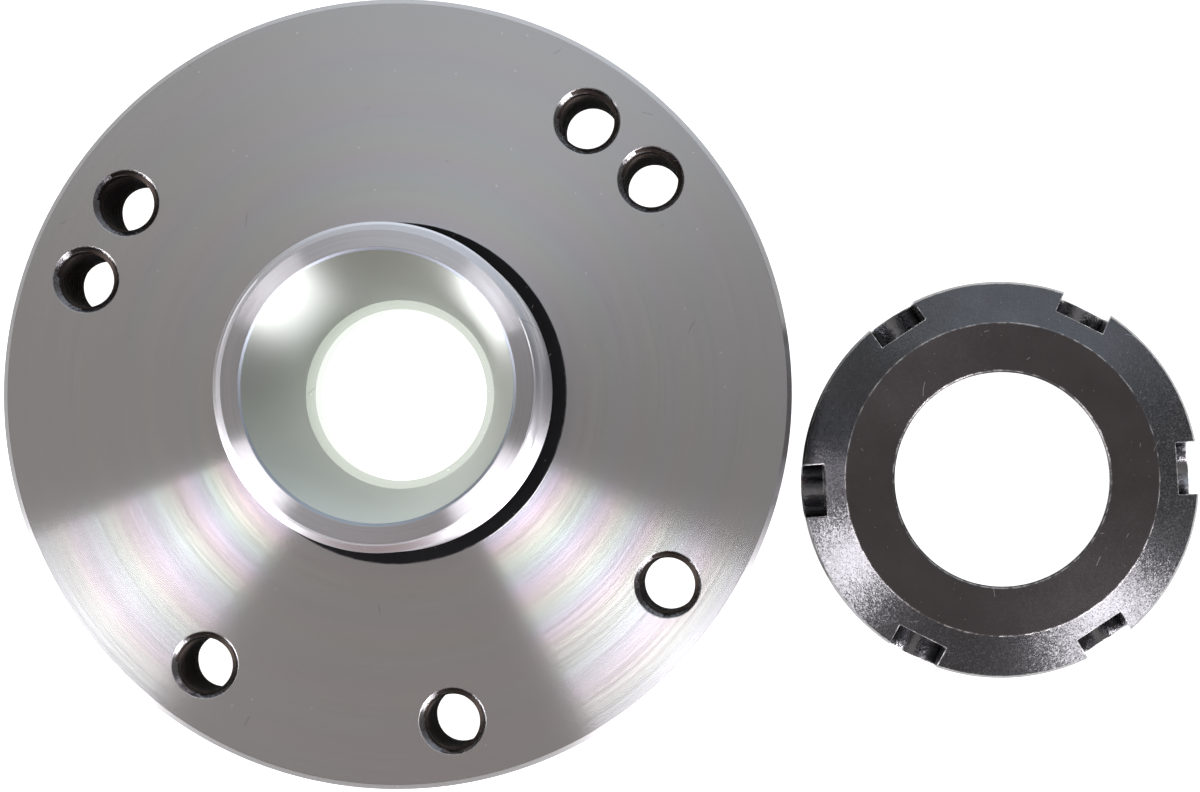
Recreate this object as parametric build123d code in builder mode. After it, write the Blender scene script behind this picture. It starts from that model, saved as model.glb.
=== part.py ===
from build123d import *
import math
import os

# A flange-mounted collet chuck for a lathe spindle, with its clamping nut taken off beside it.
# All sizes are in millimetres. The origin is on the chuck's axis at the flange's back face,
# +Z points out of the collet socket, and both pieces stand on the plane Z = 0.

# Flange
flange_diameter = 100.0
flange_thickness = 20.0
flange_front_edge = 0.6
flange_back_edge = 1.0

# Tapped mounting holes: two bolt patterns share one circle, this far inside the flange's rim
screw_rim_distance = 8.0
screw_circle = flange_diameter - 2 * screw_rim_distance
screw_tap_drill = 6.8
screw_mouth = 8.5
four_hole_start = 55.0
three_hole_start = 40.0

# Register recess in the back, which centres the chuck on the spindle's spigot: its wall
# stands this far inside the screw circle, so that the holes stay in the foot ring around it
register_screw_distance = 6.0
register_diameter = screw_circle - 2 * register_screw_distance
register_depth = 4.0
register_edge = 0.5

# Nose and its clamping thread
nose_height = 26.0
thread_diameter = 40.0
thread_pitch = 1.5
thread_start_edge = 1.1
neck_height = 4.0
neck_depth = 0.2
neck_fillet = 0.6
land_width = 1.6
land_height = 0.25

# Collet socket: the taper, the throat that leads out of it and the bore for long stock
collet_diameter = 33.0
taper_half_angle = 8.0
taper_end_diameter = 24.1
mouth_edge = 0.3
throat_half_angle = 30.0
bore_diameter = 22.0
bore_back_edge = 1.0

# Clamping nut
nut_diameter = 50.0
nut_height = 22.5
nut_face_diameter = 39.2
nut_bevel_height = 4.4
nut_corner_edge = 0.35
nut_rear_edge = 0.5
nut_bore_diameter = 26.8
nut_bore_edge = 0.2
nut_bore_land = 1.2
nut_cone_half_angle = 30.0
collet_clearance = 0.2
relief_width = 2.2
relief_depth = 0.25
lip_thickness = 1.2
lip_diameter = 31.4
lip_offset = 0.8

# Spanner slots in the nut
slot_count = 6
slot_width = 6.5
slot_depth = 3.0
slot_end_height = 4.0

# How the nut lies beside the flange
lying_gap = 2.0
lying_direction = -8.05
lying_turn = 3.6

# Metric thread form: how far the flanks reach in from the nominal diameter
external_root_drop = 1.2269 * thread_pitch
internal_crest_drop = 1.0825 * thread_pitch
thread_root_diameter = thread_diameter - external_root_drop
thread_bore_diameter = thread_diameter - internal_crest_drop

TOUCH = 1e-4


def circles_at(shape, diameter, height):
    """The circular edges of one diameter that lie at one height."""
    return shape.edges().filter_by(
        lambda edge: edge.geom_type == GeomType.CIRCLE
        and abs(2 * edge.radius - diameter) < TOUCH
        and abs(edge.arc_center.Z - height) < TOUCH
    )


def slope_height(radial, half_angle):
    """Axial length of a cone wall whose radius changes by this much."""
    return radial / math.tan(math.radians(half_angle))


# Chuck body: one turned piece
nose_top = flange_thickness + nose_height
land_top = flange_thickness + land_height
neck_top = flange_thickness + neck_height
neck_diameter = thread_root_diameter - 2 * neck_depth
land_diameter = thread_diameter + 2 * land_width
taper_bottom = nose_top - slope_height((collet_diameter - taper_end_diameter) / 2, taper_half_angle)
throat_bottom = taper_bottom - slope_height((taper_end_diameter - bore_diameter) / 2, throat_half_angle)

with BuildPart() as chuck_body:
    with BuildSketch(Plane.XZ):
        with BuildLine():
            Polyline(
                (register_diameter / 2, 0),
                (flange_diameter / 2, 0),
                (flange_diameter / 2, flange_thickness),
                (land_diameter / 2, flange_thickness),
                (land_diameter / 2, land_top),
                (neck_diameter / 2, land_top),
                (neck_diameter / 2, neck_top),
                (thread_diameter / 2, neck_top),
                (thread_diameter / 2, nose_top),
                (collet_diameter / 2, nose_top),
                (taper_end_diameter / 2, taper_bottom),
                (bore_diameter / 2, throat_bottom),
                (bore_diameter / 2, register_depth),
                (register_diameter / 2, register_depth),
                close=True,
            )
        make_face()
    revolve(axis=Axis.Z)

    chamfer(circles_at(chuck_body, flange_diameter, flange_thickness), length=flange_front_edge)
    chamfer(circles_at(chuck_body, flange_diameter, 0), length=flange_back_edge)
    chamfer(circles_at(chuck_body, register_diameter, 0), length=register_edge)
    chamfer(circles_at(chuck_body, bore_diameter, register_depth), length=bore_back_edge)
    chamfer(circles_at(chuck_body, thread_diameter, nose_top), length=thread_start_edge)
    chamfer(circles_at(chuck_body, collet_diameter, nose_top), length=mouth_edge)
    fillet(circles_at(chuck_body, neck_diameter, land_top), radius=neck_fillet)

    # Seven holes through the flange, four at right angles and three a third of a turn apart
    with Locations(Plane.XY.offset(flange_thickness)):
        with PolarLocations(screw_circle / 2, 4, start_angle=four_hole_start):
            Hole(radius=screw_tap_drill / 2, depth=flange_thickness)
        with PolarLocations(screw_circle / 2, 3, start_angle=three_hole_start):
            Hole(radius=screw_tap_drill / 2, depth=flange_thickness)
    screw_lead = (screw_mouth - screw_tap_drill) / 2
    chamfer(circles_at(chuck_body, screw_tap_drill, flange_thickness), length=screw_lead)
    chamfer(circles_at(chuck_body, screw_tap_drill, 0), length=screw_lead)

chuck_body.part.label = "chuck_body"


# Clamping nut: front face up, threaded end down, lying beside the flange
nut_distance = (flange_diameter + nut_diameter) / 2 + lying_gap
nut_x = nut_distance * math.cos(math.radians(lying_direction))
nut_y = nut_distance * math.sin(math.radians(lying_direction))
nut_floor = Plane(origin=(nut_x, nut_y, 0))
nut_axis = Axis((nut_x, nut_y, 0), (0, 0, 1))

cone_diameter = collet_diameter + 2 * collet_clearance
cone_top = nut_height - nut_bore_land
cone_bottom = cone_top - slope_height((cone_diameter - nut_bore_diameter) / 2, nut_cone_half_angle)
lip_bottom = cone_bottom - lip_thickness
relief_diameter = thread_diameter + 2 * relief_depth
relief_bottom = lip_bottom - relief_width
thread_lead = (relief_diameter - thread_bore_diameter) / 2

with BuildPart() as clamping_nut:
    with BuildSketch(Plane(origin=(nut_x, nut_y, 0), x_dir=(1, 0, 0), z_dir=(0, -1, 0))):
        with BuildLine():
            Polyline(
                (thread_bore_diameter / 2, 0),
                (nut_diameter / 2, 0),
                (nut_diameter / 2, nut_height - nut_bevel_height),
                (nut_face_diameter / 2, nut_height),
                (nut_bore_diameter / 2, nut_height),
                (nut_bore_diameter / 2, cone_top),
                (cone_diameter / 2, cone_bottom),
                (relief_diameter / 2, cone_bottom),
                (relief_diameter / 2, relief_bottom),
                (thread_bore_diameter / 2, relief_bottom),
                close=True,
            )
        make_face()
    revolve(axis=nut_axis)

    # Eccentric lip: it sits in the collet's groove and pulls the collet out of its taper
    with BuildSketch(nut_floor.offset(lip_bottom)):
        Circle(radius=relief_diameter / 2)
        with Locations((lip_offset, 0)):
            Circle(radius=lip_diameter / 2, mode=Mode.SUBTRACT)
    extrude(amount=lip_thickness)

    bevel_foot = nut_height - nut_bevel_height
    chamfer(circles_at(clamping_nut, nut_diameter, bevel_foot), length=nut_corner_edge)
    chamfer(circles_at(clamping_nut, nut_diameter, 0), length=nut_rear_edge)
    chamfer(circles_at(clamping_nut, thread_bore_diameter, 0), length=thread_lead)
    chamfer(circles_at(clamping_nut, nut_bore_diameter, nut_height), length=nut_bore_edge)

    # Spanner slots: flat floor, open at the front, ending in a half round above the rear collar
    slot_floor_radius = nut_diameter / 2 - slot_depth
    for index in range(slot_count):
        turn = math.radians(lying_turn + index * 360 / slot_count)
        outward = Vector(math.cos(turn), math.sin(turn), 0)
        along = Vector(-math.sin(turn), math.cos(turn), 0)
        slot_floor = Plane(origin=Vector(nut_x, nut_y, 0), x_dir=along, z_dir=outward)
        with BuildSketch(slot_floor.offset(slot_floor_radius)):
            with Locations((0, slot_end_height + slot_width / 2)):
                Circle(radius=slot_width / 2)
                Rectangle(slot_width, nut_height, align=(Align.CENTER, Align.MIN))
        extrude(amount=2 * slot_depth, mode=Mode.SUBTRACT)

clamping_nut.part.label = "clamping_nut"


os.makedirs("parts", exist_ok=True)
export_step(chuck_body.part, "parts/chuck_body.step")
export_step(clamping_nut.part, "parts/clamping_nut.step")
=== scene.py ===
import math

import bmesh
import bpy
import numpy as np
from mathutils import Matrix, Vector
from mathutils.geometry import delaunay_2d_cdt


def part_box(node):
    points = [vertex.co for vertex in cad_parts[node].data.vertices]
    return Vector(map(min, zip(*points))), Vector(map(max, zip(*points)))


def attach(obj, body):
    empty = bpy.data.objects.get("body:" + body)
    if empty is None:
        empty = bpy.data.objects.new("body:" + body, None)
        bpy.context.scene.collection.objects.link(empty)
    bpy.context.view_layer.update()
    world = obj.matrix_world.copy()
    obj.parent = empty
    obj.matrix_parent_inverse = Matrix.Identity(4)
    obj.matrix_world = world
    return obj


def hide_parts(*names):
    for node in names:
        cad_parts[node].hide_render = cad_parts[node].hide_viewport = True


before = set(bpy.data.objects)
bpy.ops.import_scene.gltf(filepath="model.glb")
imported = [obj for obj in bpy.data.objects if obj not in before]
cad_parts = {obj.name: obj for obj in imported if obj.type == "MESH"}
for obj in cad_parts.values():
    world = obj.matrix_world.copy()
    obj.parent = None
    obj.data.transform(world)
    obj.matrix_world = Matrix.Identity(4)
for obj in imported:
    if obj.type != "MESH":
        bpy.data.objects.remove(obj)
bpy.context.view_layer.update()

# A flange-mounted collet chuck for a lathe, with its clamping nut taken off beside it.
# Both CAD pieces are replaced by finer turned meshes with real threads. The meshes are laid out
# in millimetres, with the chuck's axis on Z and Z = 0 at the surface both pieces stand on. The
# materials and the studio are in metres.
MM = 0.001

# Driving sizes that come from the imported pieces
chuck_low, chuck_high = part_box("chuck_body")
nut_low, nut_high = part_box("clamping_nut")
flange_radius = round((chuck_high.y - chuck_low.y) / 2 / MM, 1)
chuck_height = round(chuck_high.z / MM, 1)
nut_radius = round((nut_high.y - nut_low.y) / 2 / MM, 1)
nut_height = round(nut_high.z / MM, 1)
nut_centre = (nut_low + nut_high) / 2

# Flange
FLANGE_THICKNESS = 20.0
FLANGE_FRONT_EDGE = 0.6
FLANGE_BACK_EDGE = 1.0
REGISTER_SCREW_DISTANCE = 6.0
REGISTER_DEPTH = 4.0
REGISTER_EDGE = 0.5

# Tapped holes through the flange: two bolt patterns on one circle. Where each starts is in degrees
SCREW_RIM_DISTANCE = 8.0
SCREW_CIRCLE_RADIUS = flange_radius - SCREW_RIM_DISTANCE
REGISTER_RADIUS = SCREW_CIRCLE_RADIUS - REGISTER_SCREW_DISTANCE
FOUR_HOLE_START = 55
THREE_HOLE_START = 40
SCREW_MOUTH_RADIUS = 4.25
SCREW_BORE_RADIUS = 3.4
SCREW_THREAD_RADIUS = 3.9
SCREW_PITCH = 1.25
SCREW_CREST_SHARE = 0.32

# Metric thread form: how the flanks lean, and how far they reach in from the nominal radius, in pitches
THREAD_FLANK_ANGLE = math.radians(30)
EXTERNAL_DROP = 0.61343
INTERNAL_DROP = 0.54127

# Nose, its thread and the black foot behind it
THREAD_RADIUS = 20.0
THREAD_PITCH = 1.5
THREAD_CREST_SHARE = 0.125
THREAD_ROOT_RADIUS = THREAD_RADIUS - EXTERNAL_DROP * THREAD_PITCH
THREAD_START_EDGE = 1.1
NECK_HEIGHT = 4.0
NECK_TOP = FLANGE_THICKNESS + NECK_HEIGHT
NECK_DEPTH = 0.2
NECK_RADIUS = THREAD_ROOT_RADIUS - NECK_DEPTH
NECK_FILLET = 0.6
LAND_WIDTH = 1.6
LAND_RADIUS = THREAD_RADIUS + LAND_WIDTH
LAND_HEIGHT = 0.25
LAND_TOP = FLANGE_THICKNESS + LAND_HEIGHT

# Collet socket
COLLET_RADIUS = 16.5
TAPER_HALF_ANGLE = math.radians(8)
TAPER_END_RADIUS = 12.05
MOUTH_EDGE = 0.3
THROAT_HALF_ANGLE = math.radians(30)
BORE_RADIUS = 11.0
BORE_BACK_EDGE = 1.0

# Clamping nut
NUT_FACE_RADIUS = 19.6
NUT_BEVEL_HEIGHT = 4.4
NUT_CORNER_EDGE = 0.35
NUT_REAR_EDGE = 0.5
NUT_BORE_RADIUS = 13.4
NUT_BORE_EDGE = 0.2
NUT_BORE_LAND = 1.2
COLLET_CLEARANCE = 0.2
NUT_CONE_RADIUS = COLLET_RADIUS + COLLET_CLEARANCE
NUT_CONE_HALF_ANGLE = math.radians(30)
NUT_CREST_SHARE = 0.25
NUT_THREAD_BORE_RADIUS = THREAD_RADIUS - INTERNAL_DROP * THREAD_PITCH
RELIEF_WIDTH = 2.2
RELIEF_DEPTH = 0.25
RELIEF_RADIUS = THREAD_RADIUS + RELIEF_DEPTH
LIP_THICKNESS = 1.2
LIP_RADIUS = 15.7
LIP_OFFSET = 0.8
SLOT_COUNT = 6
SLOT_WIDTH = 6.5
SLOT_DEPTH = 3.0
SLOT_END_HEIGHT = 4.0
SLOT_TURN = math.radians(3.6)

# How finely round surfaces are cut into faces
ROUND_COLUMNS = 360
HOLE_COLUMNS = 60
SLOT_END_STEPS = 24
FILLET_STEPS = 8
SHARP_ANGLE = math.radians(20)
MERGE_DISTANCE = 1e-6
PLATE_TOLERANCE = 1e-7
WHOLE_TRIANGLES = 0


class TurnedMesh:
    """Gathers the faces of one turned piece; points that coincide are merged at the end."""

    def __init__(self):
        self.points = []
        self.faces = []
        self.zones = []

    def grid(self, rows, zone, closed=True, other_zone=None, other_points=None):
        """Faces between neighbouring rows of points. A closed grid joins its last column to its first.

        Faces whose corners are all marked in other_points belong to the other zone.
        """
        rows = np.asarray(rows, float)
        marked = np.zeros(rows.shape[:2], bool) if other_points is None else other_points
        start = len(self.points)
        row_count, column_count = rows.shape[:2]
        self.points.extend(rows.reshape(-1, 3).tolist())
        spans = column_count if closed else column_count - 1
        for row in range(row_count - 1):
            low = start + row * column_count
            high = low + column_count
            for column in range(spans):
                beside = (column + 1) % column_count
                self.faces.append((low + column, low + beside, high + beside, high + column))
                corners = marked[row : row + 2, [column, beside]]
                self.zones.append(other_zone if corners.all() else zone)

    def turn(self, profile, zone, centre=(0, 0)):
        """Revolves a line of (radius, height) points."""
        self.grid([ring(radius, height, centre) for radius, height in profile], zone)

    def plate(self, outer, inner, holes, zone):
        """A flat ring between two circles with round holes in it, cut into triangles."""
        loops = [outer, inner, *holes]
        points = np.concatenate(loops)
        edges = []
        start = 0
        for loop in loops:
            count = len(loop)
            edges.extend((start + i, start + (i + 1) % count) for i in range(count))
            start += count
        flat = [Vector(point[:2]) for point in points]
        found, _, triangles, *_ = delaunay_2d_cdt(flat, edges, [], WHOLE_TRIANGLES, PLATE_TOLERANCE)
        height = float(points[0][2])
        inner_radius = np.hypot(*inner[0][:2])
        outer_radius = np.hypot(*outer[0][:2])
        centres = [np.mean(hole, axis=0) for hole in holes]
        radii = [np.hypot(*(hole[0] - centre)[:2]) for hole, centre in zip(holes, centres)]
        start = len(self.points)
        self.points.extend((point.x, point.y, height) for point in found)
        for triangle in triangles:
            middle = sum((found[i] for i in triangle), Vector((0, 0))) / 3
            if not inner_radius < middle.length < outer_radius:
                continue
            if any(
                math.hypot(middle.x - centre[0], middle.y - centre[1]) < radius
                for centre, radius in zip(centres, radii)
            ):
                continue
            self.faces.append(tuple(start + i for i in triangle))
            self.zones.append(zone)

    def build(self, name, materials, location=Vector((0, 0, 0))):
        """Makes the closed mesh object, in metres, with one material for each zone."""
        mesh = bpy.data.meshes.new(name)
        mesh.from_pydata((np.array(self.points) * MM).tolist(), [], self.faces)
        mesh.polygons.foreach_set("material_index", self.zones)
        shape = bmesh.new()
        shape.from_mesh(mesh)
        bmesh.ops.remove_doubles(shape, verts=shape.verts, dist=MERGE_DISTANCE)
        bmesh.ops.dissolve_degenerate(shape, edges=shape.edges, dist=MERGE_DISTANCE)
        bmesh.ops.recalc_face_normals(shape, faces=shape.faces)
        shape.to_mesh(mesh)
        shape.free()
        for material in materials:
            mesh.materials.append(material)
        piece = bpy.data.objects.new(name, mesh)
        piece.location = location
        bpy.context.scene.collection.objects.link(piece)
        return piece


def ring(radius, height, centre=(0, 0), columns=ROUND_COLUMNS):
    """Points round a circle; the radius may differ from point to point."""
    turn = 2 * np.pi * np.arange(columns) / columns
    radius = np.broadcast_to(radius, turn.shape)
    return np.stack(
        (
            centre[0] + radius * np.cos(turn),
            centre[1] + radius * np.sin(turn),
            np.broadcast_to(float(height), turn.shape),
        ),
        axis=1,
    )


class Thread:
    """A 60 degree thread: its radius at a height and a turn, trimmed by the chamfers at its ends."""

    def __init__(self, crest_radius, root_radius, crest_share, pitch, trim):
        self.crest_radius = crest_radius
        self.root_radius = root_radius
        self.pitch = pitch
        self.trim = trim
        self.crest_half = crest_share / 2
        flank = abs(crest_radius - root_radius) * math.tan(THREAD_FLANK_ANGLE) / pitch
        self.root_start = self.crest_half + flank

    def phases(self):
        """Where the mesh rows lie within one pitch: crest, flank, root and flank."""
        flank_middle = (self.crest_half + self.root_start) / 2
        half = [self.crest_half, flank_middle, self.root_start]
        return sorted(half + [1 - phase for phase in half])

    def radius(self, height, turn):
        """Radius at a height, for a turn from 0 to 1 round the axis."""
        phase = np.mod(height / self.pitch - turn, 1.0)
        reach = np.minimum(phase, 1 - phase)
        depth = np.clip((reach - self.crest_half) / (self.root_start - self.crest_half), 0, 1)
        radius = self.crest_radius + depth * (self.root_radius - self.crest_radius)
        return self.trim(radius, height)

    def rows(self, bottom, top, columns, centre=(0, 0)):
        """Rows that climb with the helix, so that crests and roots follow mesh edges."""
        turn = np.arange(columns + 1) / columns
        first = math.floor(bottom / self.pitch) - 1
        last = math.ceil(top / self.pitch) + 1
        starts = [(lap + phase) * self.pitch for lap in range(first, last) for phase in self.phases()]
        ends = [bottom - self.pitch, top]
        inside = [start for start in starts if ends[0] < start < ends[1]]
        rows = []
        for start in [ends[0], *inside, ends[1]]:
            height = np.clip(start + self.pitch * turn, bottom, top)
            radius = self.radius(height, turn)
            angle = 2 * np.pi * turn
            rows.append(
                np.stack(
                    (centre[0] + radius * np.cos(angle), centre[1] + radius * np.sin(angle), height),
                    axis=1,
                )
            )
        return rows

    def end_ring(self, height, columns):
        """The thread's own outline where a flat face cuts it."""
        turn = np.arange(columns) / columns
        return ring(self.radius(height, turn), height, columns=columns)


def slope_height(radial, half_angle):
    return radial / math.tan(half_angle)


# Zones of the chuck body, each with its own material
FACE, RIM, NOSE, THREAD, MOUTH, TAPER, THROAT, FOOT, HOLE, SINK, BACK, EDGE = range(12)


def add_tapped_holes(body):
    """Threaded walls of the seven holes; gives back their mouths in the front and back faces."""

    def sink_radius(height):
        return SCREW_MOUTH_RADIUS - np.minimum(height, FLANGE_THICKNESS - height)

    def countersunk(radius, height):
        return np.maximum(radius, sink_radius(height))

    tapped = Thread(SCREW_BORE_RADIUS, SCREW_THREAD_RADIUS, SCREW_CREST_SHARE, SCREW_PITCH, countersunk)
    angles = [FOUR_HOLE_START + 90 * index for index in range(4)]
    angles += [THREE_HOLE_START + 120 * index for index in range(3)]
    front_mouths = []
    back_mouths = []
    for angle in angles:
        centre = (
            SCREW_CIRCLE_RADIUS * math.cos(math.radians(angle)),
            SCREW_CIRCLE_RADIUS * math.sin(math.radians(angle)),
        )
        rows = np.array(tapped.rows(0, FLANGE_THICKNESS, HOLE_COLUMNS, centre))
        reach = np.hypot(rows[..., 0] - centre[0], rows[..., 1] - centre[1])
        on_sink = reach - sink_radius(rows[..., 2]) < MERGE_DISTANCE
        body.grid(rows, HOLE, closed=False, other_zone=SINK, other_points=on_sink)
        front_mouths.append(ring(SCREW_MOUTH_RADIUS, FLANGE_THICKNESS, centre, HOLE_COLUMNS))
        back_mouths.append(ring(SCREW_MOUTH_RADIUS, 0, centre, HOLE_COLUMNS))
    return front_mouths, back_mouths


def add_flange(body):
    """The two faces with the tapped holes between them, and the rim with its edges."""
    front_mouths, back_mouths = add_tapped_holes(body)
    face_radius = flange_radius - FLANGE_FRONT_EDGE
    foot_radius = flange_radius - FLANGE_BACK_EDGE
    land_foot = ring(LAND_RADIUS, FLANGE_THICKNESS)
    register_mouth = ring(REGISTER_RADIUS + REGISTER_EDGE, 0)
    body.plate(ring(face_radius, FLANGE_THICKNESS), land_foot, front_mouths, FACE)
    body.plate(ring(foot_radius, 0), register_mouth, back_mouths, BACK)
    rim_top = (flange_radius, FLANGE_THICKNESS - FLANGE_FRONT_EDGE)
    body.turn([(foot_radius, 0), (flange_radius, FLANGE_BACK_EDGE), rim_top], RIM)
    body.turn([rim_top, (face_radius, FLANGE_THICKNESS)], EDGE)


def add_nose_foot(body):
    """The black land on the flange, and the neck that rises from its fillet."""
    fillet_centre = (NECK_RADIUS + NECK_FILLET, LAND_TOP + NECK_FILLET)
    turns = [step * math.pi / 2 / FILLET_STEPS for step in range(FILLET_STEPS + 1)]
    fillet = [
        (fillet_centre[0] - NECK_FILLET * math.sin(turn), fillet_centre[1] - NECK_FILLET * math.cos(turn))
        for turn in turns
    ]
    land = [(LAND_RADIUS, FLANGE_THICKNESS), (LAND_RADIUS, LAND_TOP)]
    body.turn([*land, *fillet, (NECK_RADIUS, NECK_TOP)], FOOT)


def add_nose_thread(body):
    """The threaded wall of the nose, which starts with an edge at its front face."""

    def start_edge(radius, height):
        return np.minimum(radius, THREAD_RADIUS - THREAD_START_EDGE + (chuck_height - height))

    thread = Thread(THREAD_RADIUS, THREAD_ROOT_RADIUS, THREAD_CREST_SHARE, THREAD_PITCH, start_edge)
    body.grid([ring(NECK_RADIUS, NECK_TOP), thread.end_ring(NECK_TOP, ROUND_COLUMNS)], FOOT)
    body.grid(thread.rows(NECK_TOP, chuck_height, ROUND_COLUMNS), THREAD, closed=False)


def add_socket(body):
    """The nose's front face, the collet taper behind its mouth, the throat, the bore and the register."""
    taper_bottom = chuck_height - slope_height(COLLET_RADIUS - TAPER_END_RADIUS, TAPER_HALF_ANGLE)
    throat_bottom = taper_bottom - slope_height(TAPER_END_RADIUS - BORE_RADIUS, THROAT_HALF_ANGLE)
    mouth_top = (COLLET_RADIUS + MOUTH_EDGE, chuck_height)
    mouth_bottom = (
        COLLET_RADIUS - MOUTH_EDGE * math.sin(TAPER_HALF_ANGLE),
        chuck_height - MOUTH_EDGE * math.cos(TAPER_HALF_ANGLE),
    )
    body.turn([(THREAD_RADIUS - THREAD_START_EDGE, chuck_height), mouth_top], NOSE)
    body.turn([mouth_top, mouth_bottom], MOUTH)
    body.turn([mouth_bottom, (TAPER_END_RADIUS, taper_bottom)], TAPER)
    body.turn(
        [
            (TAPER_END_RADIUS, taper_bottom),
            (BORE_RADIUS, throat_bottom),
            (BORE_RADIUS, REGISTER_DEPTH + BORE_BACK_EDGE),
            (BORE_RADIUS + BORE_BACK_EDGE, REGISTER_DEPTH),
        ],
        THROAT,
    )
    body.turn(
        [
            (BORE_RADIUS + BORE_BACK_EDGE, REGISTER_DEPTH),
            (REGISTER_RADIUS, REGISTER_DEPTH),
            (REGISTER_RADIUS, REGISTER_EDGE),
            (REGISTER_RADIUS + REGISTER_EDGE, 0),
        ],
        BACK,
    )


def build_chuck_body(materials):
    body = TurnedMesh()
    add_flange(body)
    add_nose_foot(body)
    add_nose_thread(body)
    add_socket(body)
    return body.build("chuck_body_turned", materials)


# Zones of the clamping nut, each with its own material
NUT_FACE, NUT_BEVEL, NUT_SIDE, NUT_INSIDE, NUT_SLOT = range(5)


def add_nut_outside(blank):
    """The rear face, the side, the bevel and the front face."""
    bevel_foot = nut_height - NUT_BEVEL_HEIGHT
    bevel_radial = nut_radius - NUT_FACE_RADIUS
    bevel_length = math.hypot(bevel_radial, NUT_BEVEL_HEIGHT)
    corner = (
        nut_radius - NUT_CORNER_EDGE * bevel_radial / bevel_length,
        bevel_foot + NUT_CORNER_EDGE * NUT_BEVEL_HEIGHT / bevel_length,
    )
    blank.turn(
        [
            (RELIEF_RADIUS, 0),
            (nut_radius - NUT_REAR_EDGE, 0),
            (nut_radius, NUT_REAR_EDGE),
            (nut_radius, bevel_foot - NUT_CORNER_EDGE),
            corner,
        ],
        NUT_SIDE,
    )
    face_rim = (NUT_FACE_RADIUS, nut_height)
    blank.turn([corner, face_rim], NUT_BEVEL)
    blank.turn([face_rim, (NUT_BORE_RADIUS + NUT_BORE_EDGE, nut_height)], NUT_FACE)


def add_nut_inside(blank):
    """The thread and its relief, the eccentric lip, the cone that closes the collet, and the bore."""
    cone_top = nut_height - NUT_BORE_LAND
    cone_bottom = cone_top - slope_height(NUT_CONE_RADIUS - NUT_BORE_RADIUS, NUT_CONE_HALF_ANGLE)
    lip_bottom = cone_bottom - LIP_THICKNESS
    relief_bottom = lip_bottom - RELIEF_WIDTH
    lip_centre = (LIP_OFFSET, 0)

    def lead_in(radius, height):
        return np.maximum(radius, RELIEF_RADIUS - height)

    thread = Thread(NUT_THREAD_BORE_RADIUS, THREAD_RADIUS, NUT_CREST_SHARE, THREAD_PITCH, lead_in)
    blank.grid(thread.rows(0, relief_bottom, ROUND_COLUMNS), NUT_INSIDE, closed=False)
    blank.grid(
        [
            thread.end_ring(relief_bottom, ROUND_COLUMNS),
            ring(RELIEF_RADIUS, relief_bottom),
            ring(RELIEF_RADIUS, lip_bottom),
            ring(LIP_RADIUS, lip_bottom, lip_centre),
            ring(LIP_RADIUS, cone_bottom, lip_centre),
            ring(NUT_CONE_RADIUS, cone_bottom),
            ring(NUT_BORE_RADIUS, cone_top),
            ring(NUT_BORE_RADIUS, nut_height - NUT_BORE_EDGE),
            ring(NUT_BORE_RADIUS + NUT_BORE_EDGE, nut_height),
        ],
        NUT_INSIDE,
    )


def build_nut_blank(materials):
    blank = TurnedMesh()
    add_nut_outside(blank)
    add_nut_inside(blank)
    return blank.build("clamping_nut_turned", materials, Vector((nut_centre.x, nut_centre.y, 0)))


def slot_cutter(turn, materials):
    """A prism with a half-round lower end, pointing outward at this turn."""
    floor_radius = nut_radius - SLOT_DEPTH
    reach = nut_radius + SLOT_DEPTH
    half_width = SLOT_WIDTH / 2
    end_centre = SLOT_END_HEIGHT + half_width
    half_round = [math.pi + math.pi * step / SLOT_END_STEPS for step in range(SLOT_END_STEPS + 1)]
    outline = [(half_width * math.cos(a), end_centre + half_width * math.sin(a)) for a in half_round]
    outline += [(half_width, nut_height + SLOT_DEPTH), (-half_width, nut_height + SLOT_DEPTH)]
    shape = bmesh.new()
    ends = [
        [shape.verts.new((radius * MM, along * MM, height * MM)) for along, height in outline]
        for radius in (floor_radius, reach)
    ]
    for end in ends:
        shape.faces.new(end)
    count = len(outline)
    for i in range(count):
        beside = (i + 1) % count
        shape.faces.new((ends[0][i], ends[0][beside], ends[1][beside], ends[1][i]))
    for face in shape.faces:
        face.material_index = NUT_SLOT
    bmesh.ops.recalc_face_normals(shape, faces=shape.faces)
    shape.transform(Matrix.Rotation(turn, 4, "Z"))
    mesh = bpy.data.meshes.new("slot_cutter")
    shape.to_mesh(mesh)
    shape.free()
    for material in materials:
        mesh.materials.append(material)
    cutter = bpy.data.objects.new("slot_cutter", mesh)
    cutter.location = (nut_centre.x, nut_centre.y, 0)
    bpy.context.scene.collection.objects.link(cutter)
    return cutter


def cut_slots(nut, materials):
    turns = [SLOT_TURN + index * math.tau / SLOT_COUNT for index in range(SLOT_COUNT)]
    cutters = [slot_cutter(turn, materials) for turn in turns]
    for cutter in cutters:
        cut = nut.modifiers.new("slot", "BOOLEAN")
        cut.operation = "DIFFERENCE"
        cut.solver = "MANIFOLD"
        cut.object = cutter
    bpy.context.view_layer.update()
    slotted = nut.evaluated_get(bpy.context.evaluated_depsgraph_get())
    finished = bpy.data.meshes.new_from_object(slotted)
    nut.modifiers.clear()
    nut.data = finished
    for cutter in cutters:
        bpy.data.objects.remove(cutter)


def shade(piece):
    """Smooth round surfaces, with crisp edges where the surface turns."""
    piece.data.polygons.foreach_set("use_smooth", [True] * len(piece.data.polygons))
    piece.data.set_sharp_from_angle(angle=SHARP_ANGLE)


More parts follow.
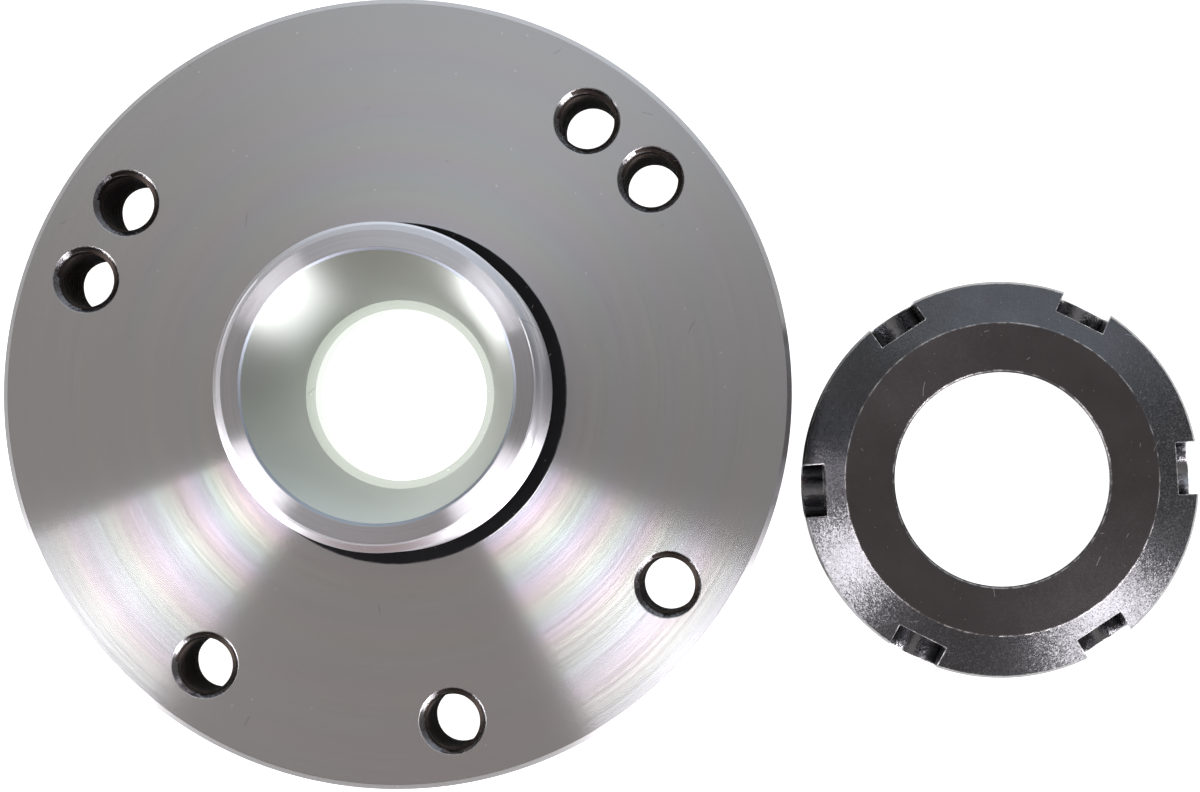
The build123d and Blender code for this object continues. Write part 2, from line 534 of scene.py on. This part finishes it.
# Fine marks and grain of the steel
NOISE_RANGE = (0.25, 0.75)
NOISE_ROUGHNESS = 0.6
TONE_RANGE = (0.992, 1.008)
BROAD_RANGE = (0.2, 0.8)
ROUGHNESS_CHANGE = 0.01
HEIGHT_SHARE = 1.7
QUARTER_TURN = 0.25
SCRATCH_BEND = 120.0
SCRATCH_DARK = (0.25, 0.25, 0.25, 1)
SCRATCH_STRENGTH = 0.5
SPECK_BRIGHT = (1.0, 1.0, 1.0, 1)
SPECK_STRENGTH = 0.6
LEVEL_RANGE = (0.2, 0.5)
EDGE_ROUNDING = 0.00012

# Turning marks: each is a shallow groove whose flank leans outward or inward
FLANK_ROUGHNESS = 0.245
FLANK_ANISOTROPY = 0.8
STREAKS = 0.4

# Pale colours in rings, which very fine turning marks give
HUE_SPACING = 0.0072
HUE_START = 0.39
HUE_WOBBLE = 0.7
HUE_STRENGTH = (0.22, 0.06)

# How flat a steel surface has to be seen for its glance to begin and to be full
GLANCE_RANGE = (0.77, 0.95)

# Black oxide and the bare steel where it is worn away
GRAINS_PER_METRE = 6500
PATCHES_PER_METRE = 900
CLOUDS_PER_METRE = 160
CLOUD_RANGE = (0.3, 0.7)
WORN_EDGE_RADIUS = 0.00025
WORN_TURN = (0.999, 0.965)
WORN_PATCHES = (0.46, 0.56)
WORN_LEAST = 0.15
WORN_ROUGHNESS = 0.5
MARK_STRENGTH = 0.25
BARE_STEEL = (0.85, 0.84, 0.83, 1)
CLOUD_CHANGE = 0.1


class Graph:
    """Short forms for building the nodes of a material, a lamp or the world."""

    def __init__(self, owner, shader="Principled BSDF"):
        owner.use_nodes = True
        self.owner = owner
        self.tree = owner.node_tree
        self.shader = self.tree.nodes[shader]

    def node(self, kind, inputs=(), **settings):
        made = self.tree.nodes.new(kind)
        for key, value in settings.items():
            setattr(made, key, value)
        for key, value in dict(inputs).items():
            self.feed(made.inputs[key], value)
        return made

    def feed(self, socket, value):
        if isinstance(value, bpy.types.NodeSocket):
            self.tree.links.new(value, socket)
        else:
            socket.default_value = value

    def set(self, **values):
        for key, value in values.items():
            self.feed(self.shader.inputs[key.replace("_", " ")], value)

    def math(self, operation, a, b=0.0):
        return self.node("ShaderNodeMath", {0: a, 1: b}, operation=operation).outputs[0]

    def vector(self, operation, a, b=(0, 0, 0)):
        return self.node("ShaderNodeVectorMath", {0: a, 1: b}, operation=operation).outputs[0]

    def scaled(self, vector, scale):
        made = self.node("ShaderNodeVectorMath", {0: vector, "Scale": scale}, operation="SCALE")
        return made.outputs[0]

    def length(self, vector):
        return self.node("ShaderNodeVectorMath", {0: vector}, operation="LENGTH").outputs["Value"]

    def dot(self, a, b):
        return self.node("ShaderNodeVectorMath", {0: a, 1: b}, operation="DOT_PRODUCT").outputs["Value"]

    def split(self, vector):
        return self.node("ShaderNodeSeparateXYZ", {0: vector}).outputs

    def joined(self, x=0.0, y=0.0, z=0.0):
        return self.node("ShaderNodeCombineXYZ", {0: x, 1: y, 2: z}).outputs[0]

    def noise(self, vector, scale, detail=2.0, roughness=0.5):
        inputs = {"Vector": vector, "Scale": scale, "Detail": detail, "Roughness": roughness}
        return self.node("ShaderNodeTexNoise", inputs).outputs["Fac"]

    def span(self, value, low, high, out_low=0.0, out_high=1.0, course="LINEAR"):
        made = self.node(
            "ShaderNodeMapRange",
            {"Value": value, "From Min": low, "From Max": high, "To Min": out_low, "To Max": out_high},
            interpolation_type=course,
        )
        return made.outputs["Result"]

    def mix(self, factor, a, b, blend="MIX"):
        made = self.node("ShaderNodeMix", data_type="RGBA", blend_type=blend)
        self.feed(made.inputs["Factor"], factor)
        self.feed(made.inputs["A"], a)
        self.feed(made.inputs["B"], b)
        return made.outputs["Result"]

    def edges(self, radius, samples):
        """Normals that are rounded off near the edges."""
        return self.node("ShaderNodeBevel", {"Radius": radius}, samples=samples).outputs[0]

    def cells(self, flat, size):
        """Random cells over a flat pattern: each point's place in its cell and three random numbers."""
        place = self.scaled(flat, 1 / size)
        cell = self.node("ShaderNodeTexVoronoi", {"Vector": place, "Scale": 1.0}, voronoi_dimensions="2D")
        offset = self.vector("SUBTRACT", place, cell.outputs["Position"])
        chances = self.node("ShaderNodeSeparateColor", {0: cell.outputs["Color"]}).outputs
        return self.scaled(offset, size), cell.outputs["Distance"], chances

    def specks(self, flat, size, radius, share):
        """Small round dots, in this share of the cells."""
        _, distance, chances = self.cells(flat, size)
        dot = self.span(self.math("MULTIPLY", distance, size), radius, radius / 2)
        return self.math("MULTIPLY", dot, self.math("LESS_THAN", chances[1], share))

    def scratches(self, flat, size, length, width, share):
        """Short fine marks that point any way, in this share of the cells."""
        offset, _, chances = self.cells(flat, size)
        angle = self.math("MULTIPLY", chances[0], math.tau)
        spin = {"Vector": offset, "Angle": angle}
        turned = self.node("ShaderNodeVectorRotate", spin, rotation_type="Z_AXIS").outputs[0]
        along, across, _ = self.split(turned)
        bend = self.math("MULTIPLY", self.math("MULTIPLY", along, along), SCRATCH_BEND)
        aside = self.math("ABSOLUTE", self.math("SUBTRACT", across, bend))
        line = self.span(aside, width / 2, width / 4)
        reach = self.math("MULTIPLY", chances[2], length / 2)
        inside = self.math("LESS_THAN", self.math("ABSOLUTE", along), reach)
        chosen = self.math("LESS_THAN", chances[1], share)
        return self.math("MULTIPLY", self.math("MULTIPLY", line, inside), chosen)


class TurnedPlace:
    """Where a point lies on a turned piece: along its profile and round its axis."""

    def __init__(self, graph):
        self.graph = graph
        self.point = graph.node("ShaderNodeTexCoord").outputs["Object"]
        x, y, height = graph.split(self.point)
        self.flat = graph.joined(x, y)
        self.radius = graph.length(self.flat)
        self.outward = graph.vector("NORMALIZE", self.flat)
        self.along = graph.math("ADD", self.radius, graph.math("MULTIPLY", height, HEIGHT_SHARE))
        self.tangent = graph.node("ShaderNodeTangent", direction_type="RADIAL", axis="Z").outputs[0]

    def lines(self, per_metre, round_scale, detail):
        """Noise in fine rings: quick along the profile, slow round the axis."""
        graph = self.graph
        rise = graph.math("MULTIPLY", self.along, per_metre)
        place = graph.vector("ADD", graph.scaled(self.outward, round_scale), graph.joined(z=rise))
        return graph.noise(place, 1.0, detail, NOISE_ROUGHNESS)


def iridescence(graph, place, metal):
    """Pale interference colours in rings round the axis."""
    wobble = graph.math("MULTIPLY", place.lines(per_metre=120, round_scale=0.4, detail=1.0), HUE_WOBBLE)
    turns = graph.math("ADD", graph.math("DIVIDE", place.radius, HUE_SPACING), wobble)
    strength = graph.span(place.radius, LAND_RADIUS * MM, flange_radius * MM, *HUE_STRENGTH)
    hue = graph.math("FRACT", graph.math("ADD", turns, HUE_START))
    rings = graph.node("ShaderNodeCombineColor", {0: hue, 1: strength, 2: 1.0}, mode="HSV").outputs[0]
    return graph.mix(1.0, metal, rings, "MULTIPLY")


def level_share(graph):
    """1 on level and sloping surfaces, and 0 on upright walls, where flat marks would turn into streaks."""
    normal = graph.node("ShaderNodeNewGeometry").outputs["Normal"]
    return graph.span(graph.math("ABSOLUTE", graph.split(normal)["Z"]), *LEVEL_RANGE)


def leaning(graph, place, normal, lean):
    """A normal that leans away from the axis."""
    return graph.vector("NORMALIZE", graph.vector("ADD", normal, graph.scaled(place.outward, lean)))


def add_flanks(graph, place, normal, colour, flanks):
    """Adds the gloss of the turning marks, each flank a share of them that leans this far outward."""
    surface = graph.shader.outputs[0]
    lines = place.lines(per_metre=2400, round_scale=1.2, detail=2.0)
    streaks = graph.span(lines, *NOISE_RANGE, 1 - STREAKS, 1 + STREAKS)
    for share, lean in flanks:
        gloss = graph.node(
            "ShaderNodeBsdfAnisotropic",
            {
                "Color": colour,
                "Roughness": FLANK_ROUGHNESS,
                "Anisotropy": FLANK_ANISOTROPY,
                "Normal": leaning(graph, place, normal, lean),
                "Tangent": place.tangent,
            },
        )
        weight = graph.math("MULTIPLY", streaks, share)
        surface = graph.node("ShaderNodeMixShader", {0: weight, 1: surface, 2: gloss.outputs[0]}).outputs[0]
    graph.feed(graph.tree.nodes["Material Output"].inputs["Surface"], surface)


def fine_marks(graph, place, colour):
    """A colour with a few dark scratches and bright specks on it."""
    scratches = graph.scratches(place.flat, size=0.007, length=0.0018, width=0.00012, share=0.2)
    large_specks = graph.specks(place.flat, size=0.005, radius=0.00012, share=0.25)
    small_specks = graph.specks(place.flat, size=0.0025, radius=0.00007, share=0.25)
    specks = graph.math("MAXIMUM", large_specks, small_specks)
    level = level_share(graph)
    scratches = graph.math("MULTIPLY", scratches, level)
    specks = graph.math("MULTIPLY", specks, level)
    colour = graph.mix(graph.math("MULTIPLY", scratches, SCRATCH_STRENGTH), colour, SCRATCH_DARK)
    return graph.mix(graph.math("MULTIPLY", specks, SPECK_STRENGTH), colour, SPECK_BRIGHT)


def turned_steel(
    name, tone, roughness, anisotropy, lean=0.0, flanks=(), edge=EDGE_ROUNDING, rainbow=False, glance=1.0
):
    """Bright turned steel, whose gloss stretches across its fine ring lines.

    A glance above 1 brightens the steel where it is seen at a flat angle.
    """
    graph = Graph(bpy.data.materials.new(name))
    place = TurnedPlace(graph)
    value = graph.span(place.lines(per_metre=1300, round_scale=1.5, detail=1.0), *NOISE_RANGE, *TONE_RANGE)
    if glance > 1:
        facing = graph.node("ShaderNodeLayerWeight", {"Blend": 0.5}).outputs["Facing"]
        value = graph.math("MULTIPLY", value, graph.span(facing, *GLANCE_RANGE, 1.0, glance))
    colour = fine_marks(graph, place, graph.scaled(graph.joined(*tone), value))
    broad = place.lines(per_metre=700, round_scale=1.2, detail=3.0)
    smoothest = roughness - ROUGHNESS_CHANGE
    roughest = roughness + ROUGHNESS_CHANGE
    rough = graph.span(broad, *BROAD_RANGE, smoothest, roughest)
    normal = graph.edges(edge, samples=4)
    graph.set(Base_Color=colour, Metallic=1.0, Roughness=rough)
    graph.set(Anisotropic=anisotropy, Anisotropic_Rotation=QUARTER_TURN, Tangent=place.tangent)
    graph.set(Normal=leaning(graph, place, normal, lean))
    flank_colour = iridescence(graph, place, colour) if rainbow else colour
    add_flanks(graph, place, normal, flank_colour, flanks)
    return graph.owner


def wear_mask(graph, place, rounded, worn):
    """Where black oxide is gone: in patches along the edges, and in a few fine marks."""
    flat_normal = graph.node("ShaderNodeNewGeometry").outputs["Normal"]
    near_edge = graph.span(graph.dot(rounded, flat_normal), *WORN_TURN)
    patches = graph.noise(place.point, PATCHES_PER_METRE, 3.0, NOISE_ROUGHNESS)
    patchy = graph.span(patches, *WORN_PATCHES, WORN_LEAST * worn, worn)
    marks = graph.math(
        "MAXIMUM",
        graph.scratches(place.flat, size=0.0036, length=0.0018, width=0.00011, share=0.2),
        graph.specks(place.flat, size=0.0022, radius=0.00007, share=0.25),
    )
    marks = graph.math("MULTIPLY", marks, level_share(graph))
    edges = graph.math("MULTIPLY", near_edge, patchy)
    return graph.math("MAXIMUM", edges, graph.math("MULTIPLY", marks, MARK_STRENGTH))


def black_oxide(
    name, tone, roughness, anisotropy=0.0, grain=0.1, worn=0.6, edge=WORN_EDGE_RADIUS, glance=1.0
):
    """Black oxide over turned steel, with sandy grain and edges worn bright.

    A glance below 1 dulls it where it is seen at a flat angle.
    """
    graph = Graph(bpy.data.materials.new(name))
    place = TurnedPlace(graph)
    rounded = graph.edges(edge, samples=6)
    wear = wear_mask(graph, place, rounded, worn)
    darker = (*[part * (1 - CLOUD_CHANGE) for part in tone], 1)
    lighter = (*[part * (1 + CLOUD_CHANGE) for part in tone], 1)
    cloud = graph.span(graph.noise(place.point, CLOUDS_PER_METRE, 3.0), *CLOUD_RANGE)
    colour = graph.mix(wear, graph.mix(cloud, darker, lighter), BARE_STEEL)
    sand = graph.node("ShaderNodeTexVoronoi", {"Vector": place.point, "Scale": GRAINS_PER_METRE})
    tilt = graph.scaled(graph.vector("SUBTRACT", sand.outputs["Color"], (0.5, 0.5, 0.5)), grain)
    graph.set(Base_Color=colour, Metallic=1.0, Specular_Tint=(glance, glance, glance, 1))
    graph.set(Roughness=graph.span(wear, 0.0, 1.0, roughness, WORN_ROUGHNESS))
    graph.set(Anisotropic=anisotropy, Anisotropic_Rotation=QUARTER_TURN, Tangent=place.tangent)
    graph.set(Normal=graph.vector("NORMALIZE", graph.vector("ADD", rounded, tilt)))
    return graph.owner


def chuck_materials():
    """One material for each zone of the chuck body, in the zones' order."""
    return [
        turned_steel(
            "turned_face",
            tone=(0.60, 0.60, 0.60),
            roughness=0.205,
            anisotropy=1.0,
            lean=0.12,
            flanks=[(0.156, 0.7)],
            rainbow=True,
        ),
        turned_steel("turned_rim", tone=(0.42, 0.42, 0.42), roughness=0.38, anisotropy=0.9),
        turned_steel(
            "turned_nose",
            tone=(0.68, 0.68, 0.70),
            roughness=0.28,
            anisotropy=1.0,
            lean=0.18,
            flanks=[(0.13, 0.7), (0.105, -0.7)],
            edge=0.0003,
        ),
        turned_steel("cut_thread", tone=(0.76, 0.76, 0.78), roughness=0.31, anisotropy=0.0),
        # The mouth edge is rough steel that catches the lamps, and its bluish tone paints the bluish
        # highlight line that runs all round the mouth.
        turned_steel("mouth_edge", tone=(0.46, 0.50, 0.56), roughness=0.50, anisotropy=0.0),
        turned_steel("ground_taper", tone=(0.67, 0.71, 0.665), roughness=0.54, anisotropy=1.0, glance=1.45),
        turned_steel("smooth_bore", tone=(0.515, 0.55, 0.50), roughness=0.22, anisotropy=0.3),
        black_oxide("black_foot", tone=(0.02, 0.02, 0.021), roughness=0.55, worn=0.1),
        black_oxide(
            "black_hole",
            tone=(0.045, 0.036, 0.031),
            roughness=0.50,
            grain=0.0,
            worn=0.3,
            edge=0.00005,
            glance=0.2,
        ),
        black_oxide("bright_sink", tone=(0.30, 0.29, 0.29), roughness=0.22, worn=0.3),
        turned_steel("turned_back", tone=(0.55, 0.55, 0.55), roughness=0.40, anisotropy=0.9),
        turned_steel("flange_edge", tone=(0.60, 0.60, 0.60), roughness=0.38, anisotropy=0.9),
    ]


def nut_materials():
    """One material for each zone of the nut, in the zones' order."""
    return [
        black_oxide("nut_face", tone=(0.088, 0.080, 0.080), roughness=0.40, anisotropy=0.5, worn=0.7),
        black_oxide("nut_bevel", tone=(0.127, 0.127, 0.131), roughness=0.27, grain=0.18, worn=0.9),
        black_oxide("nut_side", tone=(0.22, 0.22, 0.22), roughness=0.16, anisotropy=0.2, grain=0.04),
        black_oxide("nut_inside", tone=(0.12, 0.118, 0.116), roughness=0.35),
        black_oxide("nut_slot", tone=(0.25, 0.25, 0.26), roughness=0.15, worn=0.9),
    ]


chuck_body = build_chuck_body(chuck_materials())
shade(chuck_body)
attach(chuck_body, "root")
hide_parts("chuck_body")

nut_surfaces = nut_materials()
clamping_nut = build_nut_blank(nut_surfaces)
cut_slots(clamping_nut, nut_surfaces)
shade(clamping_nut)
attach(clamping_nut, "root")
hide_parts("clamping_nut")

# Studio floor, which glows evenly round the two pieces
FLOOR_SIZE = 6.0
FLOOR_TONE = (0.5, 0.5, 0.5, 1)
FLOOR_ROUGHNESS = 0.7
GLOW_CENTRE = (0.03, 0, 0)
GLOW_REACH = (0.11, 0.22)
GLOW_STRENGTH = (1.2, 0.05)

# Two softboxes, brightest along their middles
SOFTBOX_AIM = Vector((0.03, 0, 0.03))
SOFTBOX_FOOT = 0.01
SOFTBOX_COLOUR = (1.0, 0.965, 1.02)
SOFTBOX_ASIDE = (0.04, 0.5)
SOFTBOX_STRENGTH = (9.6, 4.8)

# The room around: what it shows low down, and its tone toward each side
HORIZON_HEIGHTS = (0.1, 0.6)
HORIZON = (0.22, 0.22, 0.225, 1)
ROOM_SIDES = (0.385, 0.36, 0.35, 1)
ROOM_TOP = (0.78, 0.80, 0.84, 1)
ROOM_BOTTOM = (0.26, 0.15, 0.145, 1)
ROOM_RIGHT = (0.045, 0.04, 0.045, 1)
SKYLIGHT = (0.42, 0.50, 0.60, 1)

# Camera
CAMERA_PLACE = Vector((0.04704, -0.01576, 0.54441))
CAMERA_AIM = Vector((0.02581, -0.00035, 0.020))
CAMERA_ROLL = math.radians(0.12)
CAMERA_LENS = 124.9
CAMERA_SENSOR = 36.0


def build_floor():
    bpy.ops.mesh.primitive_plane_add(size=FLOOR_SIZE)
    floor = bpy.context.object
    floor.name = "studio_floor"
    graph = Graph(bpy.data.materials.new("white_floor"))
    point = graph.node("ShaderNodeTexCoord").outputs["Object"]
    distance = graph.length(graph.vector("SUBTRACT", point, GLOW_CENTRE))
    graph.set(Base_Color=FLOOR_TONE, Roughness=FLOOR_ROUGHNESS, Emission_Color=(1, 1, 1, 1))
    graph.set(Emission_Strength=graph.span(distance, *GLOW_REACH, *GLOW_STRENGTH))
    floor.data.materials.append(graph.owner)


def softbox(name, azimuth, distance, width, rise):
    """A standing softbox with its lower edge near the floor.

    Its energy follows its area, so its strength alone says how bright it looks.
    """
    angle = math.radians(azimuth)
    place = Vector((distance * math.cos(angle), distance * math.sin(angle), rise / 2 + SOFTBOX_FOOT))
    light = bpy.data.lights.new(name, "AREA")
    light.shape = "RECTANGLE"
    light.size = width
    light.size_y = rise
    light.energy = math.pi * width * rise
    light.color = SOFTBOX_COLOUR
    graph = Graph(light, "Emission")
    across = graph.split(graph.node("ShaderNodeNewGeometry").outputs["Parametric"])["X"]
    aside = graph.math("ABSOLUTE", graph.math("SUBTRACT", across, 0.5))
    graph.set(Strength=graph.span(aside, *SOFTBOX_ASIDE, *SOFTBOX_STRENGTH))
    lamp = bpy.data.objects.new(name, light)
    lamp.location = place
    lamp.rotation_mode = "QUATERNION"
    lamp.rotation_quaternion = (SOFTBOX_AIM - place).to_track_quat("-Z", "Y")
    bpy.context.scene.collection.objects.link(lamp)


def build_world():
    """A dim room: lighter and cooler behind the top of the picture, darker to the right."""
    world = bpy.data.worlds.new("dim_room")
    bpy.context.scene.world = world
    graph = Graph(world, "Background")
    direction = graph.node("ShaderNodeTexCoord").outputs["Generated"]
    height = graph.split(direction)["Z"]

    def lobe(azimuth, low, high):
        angle = math.radians(azimuth)
        toward = (math.cos(angle), math.sin(angle), 0)
        return graph.span(graph.dot(direction, toward), low, high, course="SMOOTHSTEP")

    colour = graph.mix(lobe(azimuth=72, low=-0.2, high=0.9), ROOM_SIDES, ROOM_TOP)
    colour = graph.mix(lobe(azimuth=280, low=0.3, high=0.95), colour, ROOM_BOTTOM)
    colour = graph.mix(lobe(azimuth=350, low=0.1, high=0.9), colour, ROOM_RIGHT)
    colour = graph.mix(graph.span(height, *HORIZON_HEIGHTS, course="SMOOTHSTEP"), HORIZON, colour)
    colour = graph.mix(lobe(azimuth=75, low=0.5, high=1.0), colour, SKYLIGHT, "ADD")
    graph.set(Color=colour)


def build_camera():
    camera = bpy.data.objects.new("camera", bpy.data.cameras.new("camera"))
    camera.data.lens = CAMERA_LENS
    camera.data.sensor_width = CAMERA_SENSOR
    forward = (CAMERA_AIM - CAMERA_PLACE).normalized()
    right = forward.cross(Vector((0, 1, 0))).normalized()
    up = right.cross(forward)
    upright = Matrix((right, up, -forward)).transposed()
    roll = Matrix.Rotation(CAMERA_ROLL, 4, "Z")
    camera.matrix_world = Matrix.Translation(CAMERA_PLACE) @ upright.to_4x4() @ roll
    bpy.context.scene.collection.objects.link(camera)
    bpy.context.scene.camera = camera


build_floor()
build_world()
softbox("softbox_left", azimuth=212.5, distance=0.69, width=0.355, rise=0.56)
softbox("softbox_right", azimuth=315.5, distance=0.487, width=0.32, rise=0.46)
build_camera()
bpy.context.scene.view_settings.view_transform = "Standard"
